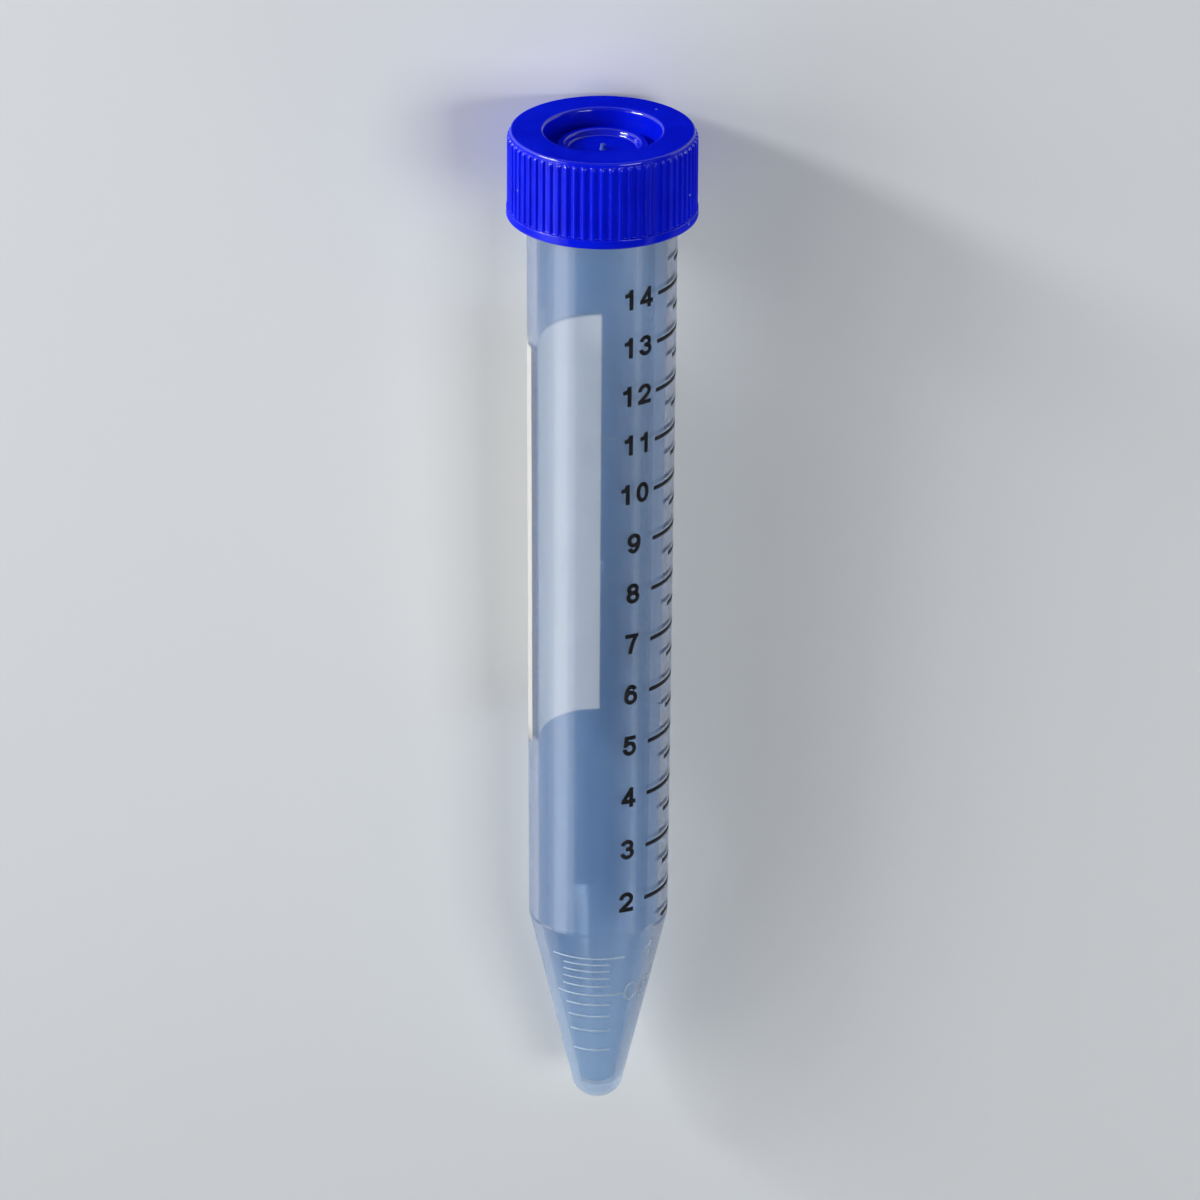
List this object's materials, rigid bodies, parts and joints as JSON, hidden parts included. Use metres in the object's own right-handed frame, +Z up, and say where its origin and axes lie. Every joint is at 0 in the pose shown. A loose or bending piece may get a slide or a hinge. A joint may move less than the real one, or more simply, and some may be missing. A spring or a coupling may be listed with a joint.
{
  "type": "15 ml conical tube",
  "caption": "Translucent screw-cap lab tube with a conical end, printed volume scale and writing patch, and a ribbed blue cap with a plug seal.",
  "frame": {"origin": "under the middle of the object, on the surface it lies on", "axes": "+Z up, +Y along the lying tube towards the cap, +X to the side; the tube's own axis rises 1.9 degrees towards the cap"},
  "size_m": [0.0216, 0.1202, 0.0218],
  "materials": {
    "tube_plastic": "satin",
    "cap_plastic": "gloss",
    "white_print": "matte",
    "black_print": "satin"
  },
  "bodies": {
    "tube": {"tube": "tube_plastic"},
    "cap": {"cap": "cap_plastic"}
  },
  "joints": [
    {"name": "cap_lift", "type": "slide", "parent": "tube", "child": "cap", "axis": [0, 0.9995, 0.0329], "range_m": [0, 0.03]}
  ]
}
